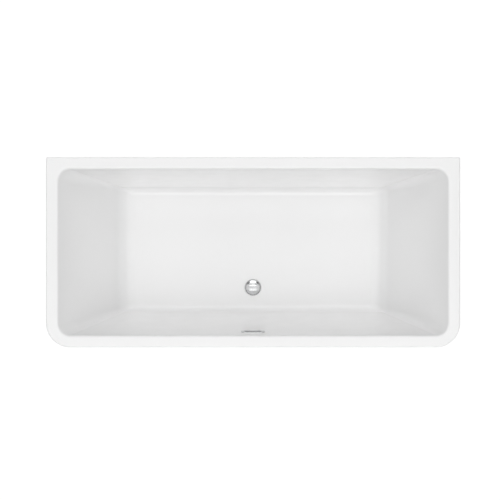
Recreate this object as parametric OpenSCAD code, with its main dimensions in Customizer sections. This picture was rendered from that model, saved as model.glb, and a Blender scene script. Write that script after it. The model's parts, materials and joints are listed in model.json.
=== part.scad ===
// Back-to-wall freestanding bathtub: acrylic basin and skirt, plywood and steel
// underframe on six screw feet, push-open waste and slot overflow.
// The origin is on the floor under the middle of the tub: +X along the wall,
// +Y towards the wall, +Z up. Millimetres.

/* [Tub] */
// Length along the wall
tub_length = 1700; // [1600:10:1800]
// Depth from the wall to the front
tub_width = 780; // [740:10:820]
// Height of the rim above the floor
tub_height = 580; // [570:5:600]
// Width of the flat rim
rim_width = 48; // [46:1:54]
// Outer radius of the two front corners
front_corner_r = 100; // [80:5:120]
// Outer radius of the two corners at the wall
back_corner_r = 5; // [3:1:8]
// Rounding of the rim's outer edge
rim_edge_r = 8; // [4:1:9]

/* [Basin] */
// Depth from the rim down to the basin floor
basin_depth = 430; // [420:5:430]
// Thickness of the reinforced shell
shell_t = 7; // [5:0.5:7]
// Slope of the two end walls from the vertical
end_slope = 30; // [24:1:32]
// Slope of the wall on the room's wall side from the vertical
back_slope = 9.5; // [6:0.5:12]
// Slope of the front wall from the vertical
front_slope = 12; // [10:0.5:13]
// Radius where the end walls meet the floor
end_fillet_r = 95; // [60:5:120]
// Radius where the long walls meet the floor
side_fillet_r = 38; // [30:1:45]
// Angle of the crease left between the long fillets and the floor
side_crease = 8; // [0:1:12]
// Rounding of the mouth's edge
mouth_edge_r = 12; // [8:1:14]
// Inside corner radius at the mouth
mouth_corner_r = 52; // [40:1:60]
// Inside corner radius at the floor
floor_corner_r = 15; // [10:1:25]

/* [Skirt] */
// Height of the lip that hangs from the rim
lip_h = 30; // [24:1:34]
// Thickness of the lip and of the skirt
panel_t = 5; // [4:0.5:5]
// Inward slope of the skirt towards the floor
skirt_draft = 4; // [2:0.5:5]
// Gap between the skirt and the floor
skirt_gap = 4; // [3:1:8]

/* [Underframe] */
// Thickness of the board under the basin floor
board_t = 15; // [15:1:18]
// Side of the square steel tubes
tube_s = 30; // [30:1:30]
// Side of the two uprights at the wall
upright_s = 25; // [20:1:25]
// Wall thickness of the tubes
tube_wall = 2; // [1.5:0.5:2]

/* [Feet] */
// Distance that a foot screws out
foot_travel = 20; // [10:1:20]
// Radius of the rubber-soled pad
pad_r = 24; // [20:1:26]
// Radius of the threaded stem
stem_r = 6; // [6:0.5:6]

/* [Waste and overflow] */
// Distance from the tub's middle line forward to the waste
waste_forward = 151; // [140:1:160]
// Diameter of the waste flange
flange_d = 70; // [70:1:75]
// Lift of the plug when it is open
plug_lift = 8.5; // [6:0.5:9]
// Depth of the overflow slot's middle below the rim
overflow_drop = 64; // [60:1:68]
// Length of the overflow trim
trim_length = 100; // [96:1:104]

/* [Hidden] */
$fn = 48;

// Main levels, from the rim down
half_l = tub_length / 2;
half_w = tub_width / 2;
lip_z = tub_height - lip_h;
plate_z = tub_height - shell_t;
floor_z = tub_height - basin_depth;
under_z = floor_z - shell_t;
board_z = under_z - board_t;
crossbar_z = board_z - tube_s;
rail_z = crossbar_z - tube_s;

// ---- Basin shell --------------------------------------------------------------

corner_steps = 8;
fillet_steps = 6;
mouth_steps = 5;
edge_steps = 3;

// A counter-clockwise outline with straight sides and round corners. yb and yf are
// the distances to the back and to the front; rb and rf are their corner radii.
function arc_pts(cx, cy, r, a0, a1) =
  [for (i = [0:corner_steps])
    let (a = a0 + (a1 - a0) * i / corner_steps) [cx + r * cos(a), cy + r * sin(a)]];
function outline(xh, yb, yf, rb, rf) = concat(
  arc_pts(xh - rb, yb - rb, rb, 0, 90),
  arc_pts(rb - xh, yb - rb, rb, 90, 180),
  arc_pts(rf - xh, rf - yf, rf, 180, 270),
  arc_pts(xh - rf, rf - yf, rf, 270, 360));
function at_height(pts, z) = [for (p = pts) [p[0], p[1], z]];

// The straight part of a wall: mouth is its distance from the middle at the rim, t is
// the distance outside the inner face.
function straight(z, mouth, slope, t) = mouth - (tub_height - z) * tan(slope) + t / cos(slope);

// The whole wall, with its fillet to the floor and its rounding at the mouth.
function wall_at(z, mouth, slope, r, crease, t) =
  let (
    fillet_z = floor_z + r * cos(crease),
    fillet_x = straight(fillet_z, mouth, slope, 0) - r / cos(slope),
    edge_z = tub_height - mouth_edge_r,
    edge_x = straight(edge_z, mouth, slope, 0) + mouth_edge_r / cos(slope)
  )
  z < fillet_z - (r + t) * sin(slope)
    ? fillet_x + sqrt(max(0, pow(r + t, 2) - pow(fillet_z - z, 2)))
    : t == 0 && z > edge_z + mouth_edge_r * sin(slope)
      ? edge_x - sqrt(max(0, pow(mouth_edge_r, 2) - pow(z - edge_z, 2)))
      : straight(z, mouth, slope, t);

function end_wall(z, t) = wall_at(z, half_l - rim_width, end_slope, end_fillet_r, 0, t);
function back_wall(z, t) =
  wall_at(z, half_w - rim_width, back_slope, side_fillet_r, side_crease, t);
function front_wall(z, t) =
  wall_at(z, half_w - rim_width, front_slope, side_fillet_r, side_crease, t);

// The inside corners open out from the floor to the mouth.
function corner_r(z, t) =
  floor_corner_r + (mouth_corner_r - floor_corner_r) * (z - floor_z) / basin_depth
  + t + back_wall(z, t) - min(back_wall(z, t), straight(z, half_w - rim_width, back_slope, t));
function wall_ring(z, t) =
  at_height(outline(end_wall(z, t), back_wall(z, t), front_wall(z, t),
                    corner_r(z, t), corner_r(z, t)), z);
function rim_ring(inset, z) =
  at_height(outline(half_l - inset, half_w - inset, half_w - inset,
                    max(back_corner_r - inset, 0.6), front_corner_r - inset), z);

fillet_h = end_fillet_r * (1 - sin(end_slope));
wall_z = (floor_z + tub_height) / 2;

inner_rings = concat(
  [for (i = [0:fillet_steps]) wall_ring(floor_z + fillet_h * pow(i / fillet_steps, 2), 0)],
  [wall_ring(wall_z, 0)],
  [for (i = [1:mouth_steps])
    wall_ring(tub_height - mouth_edge_r * (1 - sin(10 + 80 * (i - 1) / (mouth_steps - 1))), 0)]);
rim_rings = concat(
  [for (i = [0:edge_steps])
    let (a = 90 * i / edge_steps)
      rim_ring(rim_edge_r * (1 - sin(a)), tub_height - rim_edge_r * (1 - cos(a)))],
  [rim_ring(0, lip_z), rim_ring(panel_t, lip_z), rim_ring(panel_t, plate_z)]);
outer_rings = concat(
  [wall_ring(plate_z, shell_t), wall_ring(wall_z, shell_t)],
  [for (i = [fillet_steps:-1:0])
    wall_ring(under_z + (fillet_h + shell_t) * pow(i / fillet_steps, 2), shell_t)]);

// A closed solid through a stack of outlines with equal numbers of points.
module loft(rings) {
  n = len(rings[0]);
  polyhedron(
    points = [for (ring = rings) each ring],
    faces = concat(
      [[for (j = [n - 1:-1:0]) j]],
      [for (i = [0:len(rings) - 2], j = [0:n - 1])
        let (k = (j + 1) % n, a = i * n, b = a + n)
          each [[a + j, a + k, b + k], [a + j, b + k, b + j]]],
      [[for (j = [0:n - 1]) (len(rings) - 1) * n + j]]));
}

// ---- Shared shapes ------------------------------------------------------------

// Square steel tubes, centred on the origin: along x, along y, and upright from z = 0.
module tube_profile(side) {
  difference() {
    square(side, center = true);
    square(side - 2 * tube_wall, center = true);
  }
}
module tube_x(length) {
  rotate([90, 0, 90]) linear_extrude(length, center = true) tube_profile(tube_s);
}
module tube_y(length) {
  rotate([90, 0, 0]) linear_extrude(length, center = true) tube_profile(tube_s);
}
module ring(z0, z1, r_in, r_out) {
  translate([0, 0, z0]) difference() {
    cylinder(r = r_out, h = z1 - z0);
    translate([0, 0, -1]) cylinder(r = r_in, h = z1 - z0 + 2);
  }
}
// A slot-shaped plate with round ends, centred on the origin from z0 to z1.
module slot_plate(length, height, z0, z1) {
  translate([0, 0, z0]) linear_extrude(z1 - z0) {
    square([length - height, height], center = true);
    for (s = [-1, 1]) translate([s * (length - height) / 2, 0]) circle(d = height);
  }
}

// Overflow place on the front wall: x along the tub, y down the wall and z out of it
// into the basin.
overflow_z = tub_height - overflow_drop;
overflow_y = -front_wall(overflow_z, 0);
overflow_screw_x = trim_length / 2 - 5.5;
module at_overflow() {
  translate([0, overflow_y, overflow_z]) rotate([front_slope - 90, 0, 0]) children();
}
module at_overflow_screws() {
  at_overflow() for (s = [-1, 1]) translate([s * overflow_screw_x, 0, 0]) children();
}
module at_waste() {
  translate([0, -waste_forward, 0]) children();
}

// ---- Basin and skirt ----------------------------------------------------------

white = [0.93, 0.93, 0.93];
flange_r = flange_d / 2;
recess_r = flange_r + 1.7;
recess_depth = 3;
waste_hole_r = 24.5;

module basin() {
  color(white) difference() {
    loft(concat(inner_rings, rim_rings, outer_rings));
    at_waste() {
      translate([0, 0, under_z - 1]) cylinder(r = waste_hole_r, h = shell_t + 2);
      translate([0, 0, floor_z - recess_depth]) cylinder(r = recess_r, h = recess_depth + 1);
    }
    at_overflow() slot_plate(trim_length - 23, 22, -shell_t - 1, 1);
    at_overflow_screws() translate([0, 0, -shell_t - 1]) cylinder(r = 2.3, h = shell_t + 2);
  }
}

// The skirt's section: distance in from the rim's edge on the front and the sides,
// the same on the wall side, and height. A tongue goes up inside the rim's lip.
joint_gap = 1;
tongue_top = plate_z - 1.5;
tongue_in = 7.2;
tongue_t = 4;
seam_z = lip_z - joint_gap;
foot_edge = 18;
function draft_in(z) = 1.6 + (seam_z - z) * tan(skirt_draft);
skirt_rows = [
  [draft_in(skirt_gap), 0, skirt_gap],
  [draft_in(seam_z), 0, seam_z],
  [tongue_in, panel_t + 0.5, seam_z],
  [tongue_in, panel_t + 0.5, tongue_top],
  [tongue_in + tongue_t, panel_t + 0.5 + tongue_t, tongue_top],
  [tongue_in + tongue_t, panel_t + 0.5 + tongue_t, seam_z - 9],
  [draft_in(seam_z - 14) + panel_t, panel_t, seam_z - 14],
  [draft_in(skirt_gap + panel_t) + panel_t, panel_t, skirt_gap + panel_t],
  [draft_in(skirt_gap) + panel_t + foot_edge, panel_t + foot_edge, skirt_gap + panel_t],
  [draft_in(skirt_gap) + panel_t + foot_edge, panel_t + foot_edge, skirt_gap]
];
skirt_return = 70;
skirt_tip = half_l - skirt_return;

function skirt_path(row) =
  let (
    xh = half_l - row[0],
    yb = half_w - row[1],
    cx = half_l - front_corner_r,
    cy = front_corner_r - half_w,
    r = front_corner_r - row[0]
  )
  concat(
    [[-skirt_tip, yb], [-xh, yb]],
    arc_pts(-cx, cy, r, 180, 270),
    arc_pts(cx, cy, r, 270, 360),
    [[xh, yb], [skirt_tip, yb]]);

module skirt() {
  rows = len(skirt_rows);
  n = len(skirt_path(skirt_rows[0]));
  color(white) polyhedron(
    points = [for (row = skirt_rows) each at_height(skirt_path(row), row[2])],
    faces = concat(
      [[for (i = [rows - 1:-1:0]) i * n]],
      [for (i = [0:rows - 1], j = [0:n - 2])
        let (a = i * n + j, b = ((i + 1) % rows) * n + j)
          each [[a, b, b + 1], [a, b + 1, a + 1]]],
      [[for (i = [0:rows - 1]) i * n + n - 1]]));
}

// ---- Underframe ---------------------------------------------------------------

rail_front_y = -half_w + 90;
rail_back_y = half_w - 28;
rail_l = 1280;
foot_xs = [-600, 0, 600];
crossbar_xs = [-470, -160, 160, 470];
crossbar_y0 = rail_front_y - tube_s / 2;
crossbar_y1 = rail_back_y + tube_s / 2;
board_screw_ys = [-180, 30, 220];
board_half_l = 500;
board_y0 = -225;
board_y1 = 240;
wood_tan = [0.72, 0.56, 0.36];
zinc = [0.66, 0.68, 0.70];
steel = [0.50, 0.51, 0.52];

module base_board() {
  color(wood_tan) difference() {
    translate([-board_half_l, board_y0, board_z])
      cube([2 * board_half_l, board_y1 - board_y0, board_t]);
    at_waste() translate([0, 0, board_z - 1]) cylinder(r = 42, h = board_t + 2);
    for (x = crossbar_xs, y = board_screw_ys)
      translate([x, y, board_z - 1]) cylinder(r = 2.6, h = board_t - 2);
  }
}

module rail(y) {
  color(zinc) difference() {
    translate([0, y, rail_z + tube_s / 2]) tube_x(rail_l);
    for (x = foot_xs) translate([x, y, rail_z - 1]) cylinder(r = 9.05, h = tube_wall + 2);
  }
}

module crossbar(x) {
  color(zinc) difference() {
    translate([x, (crossbar_y0 + crossbar_y1) / 2, crossbar_z + tube_s / 2])
      tube_y(crossbar_y1 - crossbar_y0);
    for (y = board_screw_ys)
      translate([x, y, crossbar_z - 1]) cylinder(r = 2.6, h = tube_s + 2);
  }
}

batten_w = 24;
batten_z = plate_z - 28;
batten_h = plate_z - batten_z;
batten_end_x = half_l - 36;
batten_side_y = half_w - 30;
upright_x = 560;
upright_y = rail_back_y;
plate_t = 3;
upright_z0 = crossbar_z + plate_t;
upright_z1 = batten_z - plate_t;

module upright(side) {
  color(zinc) translate([side * upright_x, upright_y, 0]) {
    translate([0, 0, upright_z0])
      linear_extrude(upright_z1 - upright_z0) tube_profile(upright_s);
    translate([-30, -15, crossbar_z]) cube([60, 30, plate_t]);
    difference() {
      translate([-30, -upright_s / 2, upright_z1])
        cube([60, batten_side_y + batten_w - upright_y + upright_s / 2, plate_t]);
      for (s = [-1, 1]) translate([s * 22, 10, upright_z1 - 1]) cylinder(r = 2.6, h = plate_t + 2);
    }
  }
}

module upright_screws() {
  color(zinc) for (side = [-1, 1], s = [-1, 1])
    translate([side * upright_x + s * 22, upright_y + 10, upright_z1 - 2.5]) {
      cylinder(r = 4.5, h = 2.5);
      cylinder(r = 2.5, h = 20);
    }
}

module rim_batten_back() {
  color(wood_tan) difference() {
    translate([-770, batten_side_y, batten_z]) cube([1540, batten_w, batten_h]);
    for (side = [-1, 1], s = [-1, 1])
      translate([side * upright_x + s * 22, upright_y + 10, batten_z - 1])
        cylinder(r = 2.5, h = 18.5 - plate_t + 1);
  }
}
module rim_batten_front() {
  color(wood_tan) translate([-750, 12 - half_w, batten_z]) cube([1500, batten_w, batten_h]);
}
module rim_batten_end(side) {
  x = side > 0 ? batten_end_x : -batten_end_x - batten_w;
  color(wood_tan) translate([x, 100 - half_w, batten_z])
    cube([batten_w, tub_width - 120, batten_h]);
}

// A square plate and a plug that goes into the tube, facing +x.
module tube_cap() {
  plug = tube_s - 2 * tube_wall - 0.2;
  translate([0, -tube_s / 2, -tube_s / 2]) cube([2, tube_s, tube_s]);
  translate([-10, -plug / 2, -plug / 2]) cube([10, plug, plug]);
}
module tube_end_caps() {
  color([0.10, 0.10, 0.11]) {
    for (y = [rail_front_y, rail_back_y], s = [0, 1])
      translate([(1 - 2 * s) * rail_l / 2, y, rail_z + tube_s / 2]) rotate(180 * s) tube_cap();
    for (x = crossbar_xs) {
      translate([x, crossbar_y1, crossbar_z + tube_s / 2]) rotate(90) tube_cap();
      translate([x, crossbar_y0, crossbar_z + tube_s / 2]) rotate(-90) tube_cap();
    }
  }
}

module board_screws() {
  color(steel) for (x = crossbar_xs, y = board_screw_ys)
    translate([x, y, crossbar_z - 3]) {
      cylinder(r = 4.5, h = 3);
      cylinder(r = 2.4, h = tube_s + board_t - 1);
    }
}

// ---- Screw feet ---------------------------------------------------------------

ball_r = 7.5;
ball_z = 9.5;
pad_h = 14;
stem_top = rail_z + foot_travel + 4;

module foot_inserts() {
  color(steel) for (x = foot_xs, y = [rail_front_y, rail_back_y])
    translate([x, y, 0]) difference() {
      union() {
        translate([0, 0, rail_z - 6]) cylinder(r = 13, h = 6);
        translate([0, 0, rail_z - 6]) cylinder(r = 9, h = 16);
      }
      translate([0, 0, rail_z - 7]) cylinder(r = stem_r + 0.1, h = 18);
    }
}

module foot_pad(x, y) {
  color([0.12, 0.12, 0.13]) translate([x, y, 0]) difference() {
    rotate_extrude() polygon([
      [0, 0], [pad_r - 1, 0], [pad_r, 1], [pad_r, 5], [11, 11], [11, pad_h], [0, pad_h]]);
    translate([0, 0, ball_z]) sphere(r = ball_r + 0.1);
  }
}

module foot_stem(x, y) {
  color(zinc) translate([x, y, 0]) {
    translate([0, 0, ball_z]) sphere(r = ball_r);
    translate([0, 0, ball_z]) cylinder(r = 5, h = 8);
    translate([0, 0, 17]) cylinder(r = 8, h = 7, $fn = 6);
    translate([0, 0, 23]) cylinder(r = stem_r, h = stem_top - 24);
    translate([0, 0, stem_top - 1]) cylinder(r1 = stem_r, r2 = stem_r - 1, h = 1, $fn = 32);
  }
}

module foot_locknut(x, y) {
  color(zinc) translate([x, y, rail_z - 14]) difference() {
    cylinder(r = 10.97, h = 8, $fn = 6);
    translate([0, 0, -1]) cylinder(r = stem_r + 0.02, h = 10);
  }
}

// ---- Waste --------------------------------------------------------------------

chrome = [0.78, 0.79, 0.80];
brass_col = [0.75, 0.62, 0.30];
black = [0.08, 0.08, 0.08];
pipe_white = [0.88, 0.88, 0.87];
flange_z = floor_z - recess_depth;
cap_z = floor_z + 2;
cap_r = flange_r - 3.7;
dome_h = 9;
body_z = under_z - 6;
chamber_z = 98;
inlet_z = 104;
spider_z = 115;
tail_top = 68;
tail_bottom = 20;
tail_r = 20;
tail_wall = 2;
hose_r = 12.5;
spigot_r = 9.5;
spigot_bore = 7;
hose_start = 35;

module waste_flange() {
  color(chrome) at_waste() difference() {
    union() {
      rotate_extrude() polygon([
        [20.5, 100], [23.9, 100], [23.9, flange_z + 1], [flange_r, flange_z + 1],
        [flange_r, flange_z + 3.8], [flange_r - 1.2, cap_z], [flange_r - 2.7, cap_z],
        [flange_r - 2.7, floor_z - 0.5], [23.5, floor_z - 0.5], [20.5, floor_z - 3.5]]);
      translate([0, 0, spider_z]) {
        cylinder(r = 8, h = 5);
        for (a = [90, 210, 330]) rotate(a) translate([0, -2, 0]) cube([22, 4, 5]);
      }
    }
    translate([0, 0, spider_z - 1]) cylinder(r = 3.05, h = 7);
    for (a = [30, 150, 270]) rotate(a) translate([15, 0, 108]) rotate([0, 90, 0]) cylinder(r = 5, h = 12);
  }
}

module flange_gasket() {
  color(black) at_waste() ring(flange_z, flange_z + 1, 24.3, flange_r - 0.5);
}
module waste_washer() {
  color(black) at_waste() ring(body_z, under_z, 24.3, flange_r - 0.5);
}

module waste_body() {
  color(pipe_white) at_waste() difference() {
    union() {
      rotate_extrude() polygon([
        [24, body_z - 15], [24, body_z], [36, body_z], [36, 131.5], [30.5, 129],
        [30.5, 95], [24, 90], [24, tail_top], [20.2, tail_top], [20.2, 92],
        [27, chamber_z], [27, body_z - 15]]);
      translate([0, 0, inlet_z]) rotate([90, 0, 0]) ring(28.5, hose_start, spigot_bore, 12);
      translate([0, 0, inlet_z]) rotate([90, 0, 0]) ring(28.5, 50, spigot_bore, spigot_r);
    }
    translate([0, 0, inlet_z]) rotate([90, 0, 0]) translate([0, 0, 20])
      cylinder(r = spigot_bore, h = 12);
  }
}

// A shallow dome with a turned edge and a blind hole for the plunger.
module waste_cap() {
  edge_h = 1.5;
  dome_r = (pow(cap_r, 2) + pow(dome_h - edge_h, 2)) / (2 * (dome_h - edge_h));
  dome_a = asin(cap_r / dome_r);
  color(chrome) at_waste() rotate_extrude() polygon(concat(
    [[4.05, cap_z], [cap_r - 0.6, cap_z], [cap_r, cap_z + 0.6]],
    [for (i = [6:-1:0])
      [dome_r * sin(dome_a * i / 6), cap_z + dome_h - dome_r * (1 - cos(dome_a * i / 6))]],
    [[0, cap_z + 3], [4.05, cap_z + 3]]));
}

module cap_seal() {
  color(black) at_waste() ring(floor_z - 0.45, cap_z, 22, flange_r - 5.5);
}

// The piston stops half a millimetre under the cartridge's collar when the plug is open.
piston_z = floor_z - 9.5 - plug_lift;
module plunger() {
  color(brass_col) at_waste() {
    translate([0, 0, piston_z]) cylinder(r = 4, h = cap_z + 3 - piston_z);
    translate([0, 0, piston_z]) cylinder(r = 6.3, h = 4);
    translate([0, 0, piston_z - 6]) cylinder(r = 2.5, h = 7);
  }
}

module latch_rotor() {
  color(pipe_white) at_waste() difference() {
    union() {
      translate([0, 0, piston_z - 3]) cylinder(r = 5.4, h = 2.9);
      for (a = [0:90:270]) rotate(a) translate([0, -1, piston_z - 3]) cube([6.3, 2, 2.9]);
    }
    translate([0, 0, piston_z - 4]) cylinder(r = 2.6, h = 5);
  }
}

// A compression spring as one closed tube with six sides and closed turns.
spring_z0 = 123;
spring_z1 = piston_z - 3;
spring_r = 4.6;
wire_r = 0.5;
spring_turns = 5;
spring_sections = 60;
spring_sides = 6;
module plunger_spring() {
  rise = spring_z1 - spring_z0 - 2 * wire_r;
  points = [for (i = [0:spring_sections], j = [0:spring_sides - 1])
    let (
      a = 360 * spring_turns * i / spring_sections,
      b = 360 * j / spring_sides,
      r = spring_r + wire_r * cos(b)
    )
    [r * cos(a), r * sin(a), spring_z0 + wire_r + rise * i / spring_sections + wire_r * sin(b)]];
  color(steel) at_waste() polyhedron(
    points = points,
    faces = concat(
      [[for (j = [spring_sides - 1:-1:0]) j]],
      [for (i = [0:spring_sections - 1], j = [0:spring_sides - 1])
        let (k = (j + 1) % spring_sides, a = i * spring_sides, b = a + spring_sides)
          each [[a + j, a + k, b + k], [a + j, b + k, b + j]]],
      [[for (j = [0:spring_sides - 1]) spring_sections * spring_sides + j]]));
}

module cartridge() {
  top = floor_z - 3;
  color(brass_col) at_waste() rotate_extrude() polygon([
    [3.05, spider_z + 5], [9, spider_z + 5], [9, top], [4.2, top], [4.2, top - 2],
    [6.5, top - 2], [6.5, spring_z0], [3.05, spring_z0]]);
}

module cartridge_screw() {
  color(steel) at_waste() difference() {
    union() {
      translate([0, 0, spider_z - 3.5]) cylinder(r = 5, h = 3.5);
      translate([0, 0, spider_z - 1]) cylinder(r = 2.9, h = spring_z0 - spider_z + 0.8);
    }
    translate([0, 0, spider_z - 4]) cylinder(r = 2.3, h = 2.5, $fn = 6);
  }
}

module tail_nut() {
  color(pipe_white) at_waste() difference() {
    translate([0, 0, tail_top - 10.5]) cylinder(r = 31, h = 24.5, $fn = 12);
    translate([0, 0, tail_top - 11]) cylinder(r = tail_r + 0.4, h = 12);
    translate([0, 0, tail_top - 6.5]) cylinder(r = 24.1, h = 22);
  }
}

module tail_seal() {
  color(black) at_waste() ring(tail_top - 6.5, tail_top - 0.2, tail_r, 23.8);
}

module tailpiece() {
  color(chrome) at_waste() rotate_extrude() polygon([
    [tail_r - tail_wall, tail_bottom], [tail_r, tail_bottom], [tail_r, tail_top - 16],
    [tail_r + 2, tail_top - 15.5], [tail_r + 2, tail_top - 13.5], [tail_r, tail_top - 13],
    [tail_r, 85], [tail_r - tail_wall, 85]]);
}

// ---- Overflow -----------------------------------------------------------------

trim_t = 2.5;
slot_l = 73;
slot_h = 9;
housing_back = -35;
hose_depth = -24;
hose_inner_r = 9.6;
hose_bend_r = 75;

module overflow_trim() {
  color(chrome) {
    difference() {
      union() {
        at_overflow() slot_plate(trim_length, 32, 0.01, trim_t);
        at_overflow() slot_plate(76, 19, -shell_t - 0.5, 0.02);
      }
      at_overflow() slot_plate(slot_l, slot_h, -shell_t - 1, trim_t + 1);
      at_overflow_screws() translate([0, 0, -1]) cylinder(r = 2.3, h = trim_t + 2);
      at_overflow_screws() translate([0, 0, trim_t - 1.2]) cylinder(r = 3.9, h = 2);
    }
  }
}

module overflow_gasket() {
  color(black) difference() {
    at_overflow() slot_plate(106, 52, -shell_t - 2, -shell_t);
    at_overflow() slot_plate(78, 24, -shell_t - 3, -shell_t + 1);
    at_overflow_screws() translate([0, 0, -shell_t - 3]) cylinder(r = 2.3, h = 4);
  }
}

module overflow_housing() {
  front = -shell_t - 2;
  color(pipe_white) difference() {
    union() {
      at_overflow() slot_plate(112, 60, housing_back, front);
      at_overflow() translate([0, 20, hose_depth]) rotate([-90, 0, 0]) cylinder(r = spigot_r, h = 27);
    }
    at_overflow() slot_plate(81, 44, housing_back + 3, front + 1);
    at_overflow() translate([0, 10, hose_depth]) rotate([-90, 0, 0]) cylinder(r = spigot_bore, h = 40);
    at_overflow_screws() translate([0, 0, front - 14]) cylinder(r = 1.9, h = 15);
  }
}

module overflow_screws() {
  color(steel) at_overflow_screws() {
    translate([0, 0, trim_t - 1.2]) cylinder(r = 3.8, h = 1.2);
    translate([0, 0, -22]) cylinder(r = 1.9, h = trim_t + 21);
  }
}

// The hose runs down beside the wall, turns through an arc and ends level on the
// waste's inlet. Its wall is a little thinner in the bend than in the straight parts,
// which lap over the bend's ends.
hose_top = 32;
hose_top_y = overflow_y + hose_depth * cos(front_slope) + hose_top * sin(front_slope);
hose_top_z = overflow_z + hose_depth * sin(front_slope) - hose_top * cos(front_slope);
hose_turn = 90 - front_slope;
hose_corner = (hose_top_z - inlet_z) / cos(front_slope);
hose_tangent = hose_bend_r * tan(hose_turn / 2);
hose_arc_y = hose_top_y + hose_corner * sin(front_slope) + hose_tangent;
hose_end_y = -waste_forward - hose_start;
hose_lap = 0.5;
bend_step = 0.2;

module overflow_hose() {
  color([0.80, 0.80, 0.79]) {
    at_overflow() translate([0, hose_top, hose_depth]) rotate([-90, 0, 0])
      ring(0, hose_corner - hose_tangent + hose_lap, hose_inner_r, hose_r);
    translate([0, hose_arc_y, inlet_z + hose_bend_r]) rotate([90, 0, 90])
      rotate([0, 0, 180 + front_slope]) rotate_extrude(angle = hose_turn)
        translate([hose_bend_r, 0]) difference() {
          circle(r = hose_r - bend_step);
          circle(r = hose_inner_r + bend_step);
        }
    translate([0, hose_arc_y, inlet_z]) rotate([-90, 0, 0])
      ring(-hose_lap, hose_end_y - hose_arc_y, hose_inner_r, hose_r);
  }
}

module hose_clip() {
  ring(0, 9, hose_r + 0.1, hose_r + 1.4);
  translate([hose_r + 0.8, -6, -1]) cube([7, 12, 11]);
  translate([hose_r + 4.5, 6, 4.5]) rotate([-90, 0, 0]) cylinder(r = 3.5, h = 5, $fn = 6);
}
module hose_clips() {
  color(steel) {
    at_overflow() translate([0, hose_top + 2, hose_depth]) rotate([-90, 0, 0]) hose_clip();
    at_waste() translate([0, 0, inlet_z]) rotate([90, 0, 0])
      translate([0, 0, hose_start + 3]) hose_clip();
  }
}

// ---- Nodes --------------------------------------------------------------------

front_y = rail_front_y;
back_y = rail_back_y;
basin();
skirt();
base_board();
rail(front_y);  // rail_front
rail(back_y);  // rail_back
crossbar(crossbar_xs[0]);  // crossbar_far_left
crossbar(crossbar_xs[1]);  // crossbar_left
crossbar(crossbar_xs[2]);  // crossbar_right
crossbar(crossbar_xs[3]);  // crossbar_far_right
upright(-1);  // upright_left
upright(1);  // upright_right
rim_batten_back();
rim_batten_front();
rim_batten_end(-1);  // rim_batten_left
rim_batten_end(1);  // rim_batten_right
tube_end_caps();
board_screws();
upright_screws();
foot_inserts();
foot_pad(foot_xs[0], front_y);  // foot_pad_front_left
foot_pad(foot_xs[1], front_y);  // foot_pad_front_middle
foot_pad(foot_xs[2], front_y);  // foot_pad_front_right
foot_pad(foot_xs[0], back_y);  // foot_pad_back_left
foot_pad(foot_xs[1], back_y);  // foot_pad_back_middle
foot_pad(foot_xs[2], back_y);  // foot_pad_back_right
foot_stem(foot_xs[0], front_y);  // foot_stem_front_left
foot_stem(foot_xs[1], front_y);  // foot_stem_front_middle
foot_stem(foot_xs[2], front_y);  // foot_stem_front_right
foot_stem(foot_xs[0], back_y);  // foot_stem_back_left
foot_stem(foot_xs[1], back_y);  // foot_stem_back_middle
foot_stem(foot_xs[2], back_y);  // foot_stem_back_right
foot_locknut(foot_xs[0], front_y);  // foot_locknut_front_left
foot_locknut(foot_xs[1], front_y);  // foot_locknut_front_middle
foot_locknut(foot_xs[2], front_y);  // foot_locknut_front_right
foot_locknut(foot_xs[0], back_y);  // foot_locknut_back_left
foot_locknut(foot_xs[1], back_y);  // foot_locknut_back_middle
foot_locknut(foot_xs[2], back_y);  // foot_locknut_back_right
waste_flange();
flange_gasket();
waste_washer();
waste_body();
waste_cap();
cap_seal();
plunger();
latch_rotor();
plunger_spring();
cartridge();
cartridge_screw();
tail_nut();
tail_seal();
tailpiece();
overflow_trim();
overflow_gasket();
overflow_housing();
overflow_screws();
overflow_hose();
hose_clips();
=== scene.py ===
"""Back-to-wall bathtub: acrylic basin and skirt over a plywood and steel underframe."""

import json
import math

import bmesh
import bpy
from mathutils import Euler, Matrix, Vector


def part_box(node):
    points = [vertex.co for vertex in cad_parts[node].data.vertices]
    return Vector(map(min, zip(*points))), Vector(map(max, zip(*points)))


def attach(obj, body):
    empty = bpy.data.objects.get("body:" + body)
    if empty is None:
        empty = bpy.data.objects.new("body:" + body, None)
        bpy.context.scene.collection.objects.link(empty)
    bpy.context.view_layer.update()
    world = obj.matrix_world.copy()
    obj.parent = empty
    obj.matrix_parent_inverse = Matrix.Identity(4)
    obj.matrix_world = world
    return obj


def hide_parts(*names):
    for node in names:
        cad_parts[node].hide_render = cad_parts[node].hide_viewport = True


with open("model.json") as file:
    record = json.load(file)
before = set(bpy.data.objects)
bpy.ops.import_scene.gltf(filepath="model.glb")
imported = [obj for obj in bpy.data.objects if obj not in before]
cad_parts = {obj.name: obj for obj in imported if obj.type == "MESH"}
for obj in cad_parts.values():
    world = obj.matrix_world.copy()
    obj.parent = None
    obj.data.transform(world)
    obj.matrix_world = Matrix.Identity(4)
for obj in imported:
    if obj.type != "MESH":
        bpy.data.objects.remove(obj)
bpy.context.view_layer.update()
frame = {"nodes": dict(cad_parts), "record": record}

bl_info = {
    "name": "Back-to-wall bathtub",
    "version": (1, 0, 0),
    "blender": (4, 5, 0),
    "location": "View3D > Sidebar > Bathtub",
    "description": "Builds an acrylic bathtub with its underframe, feet, waste and overflow",
    "category": "Object",
}


def middle_of(node):
    """The middle of a CAD node's box."""
    low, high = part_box(node)
    return (low + high) / 2


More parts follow.
